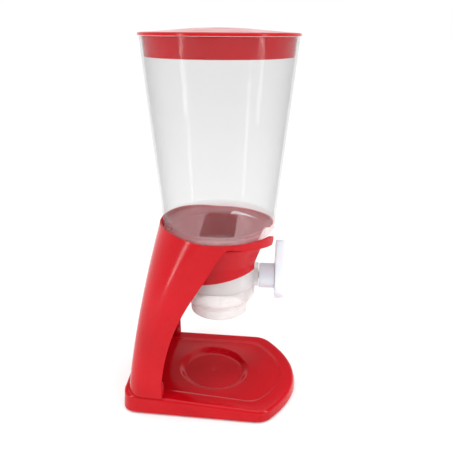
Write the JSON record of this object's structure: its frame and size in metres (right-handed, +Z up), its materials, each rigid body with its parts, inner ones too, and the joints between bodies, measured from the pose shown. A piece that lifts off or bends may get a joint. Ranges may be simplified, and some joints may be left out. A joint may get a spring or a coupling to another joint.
{
  "type": "candy bulk dispenser",
  "caption": "Counter-top candy dispenser: clear tapered hopper lifts off a red stand; a knob turns a paddle wheel that drops sweets into a cup on the base.",
  "frame": {"origin": "on the ground at the middle of the base", "axes": "+Z up, +X towards the front, where the knob is"},
  "size_m": [0.192, 0.1544, 0.3954],
  "materials": {
    "red_plastic": "glossy moulded",
    "clear_plastic": "clear, polished",
    "milky_plastic": "translucent, satin",
    "white_plastic": "satin moulded",
    "silicone": "matt, soft",
    "steel": "bright zinc plated",
    "rubber": "matt"
  },
  "bodies": {
    "stand": {"base_tray": "red_plastic", "rubber_foot_1": "rubber", "rubber_foot_2": "rubber", "rubber_foot_3": "rubber", "rubber_foot_4": "rubber", "column_shell": "red_plastic", "column_screw_1": "steel", "column_screw_2": "steel", "column_screw_3": "steel", "column_screw_4": "steel", "seat_cup": "red_plastic", "seat_screw_1": "steel", "seat_screw_2": "steel", "seat_screw_3": "steel"},
    "hopper": {"hopper_tank": "clear_plastic", "trough_chute": "clear_plastic", "chamber_body": "milky_plastic", "outlet_bowl": "milky_plastic", "wheel_cheeks": "clear_plastic", "front_bush": "white_plastic", "rear_bush": "white_plastic"},
    "rotor": {"drive_shaft": "steel", "paddle_wheel": "silicone", "knob_hub": "white_plastic", "knob_plate": "white_plastic", "knob_screw": "steel", "knob_cap": "white_plastic"},
    "lid": {"lid_shell": "red_plastic", "lid_seal": "silicone"}
  },
  "joints": [
    {"name": "hopper_lift", "type": "slide", "parent": "stand", "child": "hopper", "axis": [0, 0, 1], "range_m": [0, 0.115]},
    {"name": "lid_lift", "type": "slide", "parent": "hopper", "child": "lid", "axis": [0, 0, 1], "range_m": [0, 0.05]},
    {"name": "knob_turn", "type": "hinge", "parent": "hopper", "child": "rotor", "pos_m": [0.006, 0, 0.1396], "axis": [1, 0, 0], "continuous": true}
  ]
}
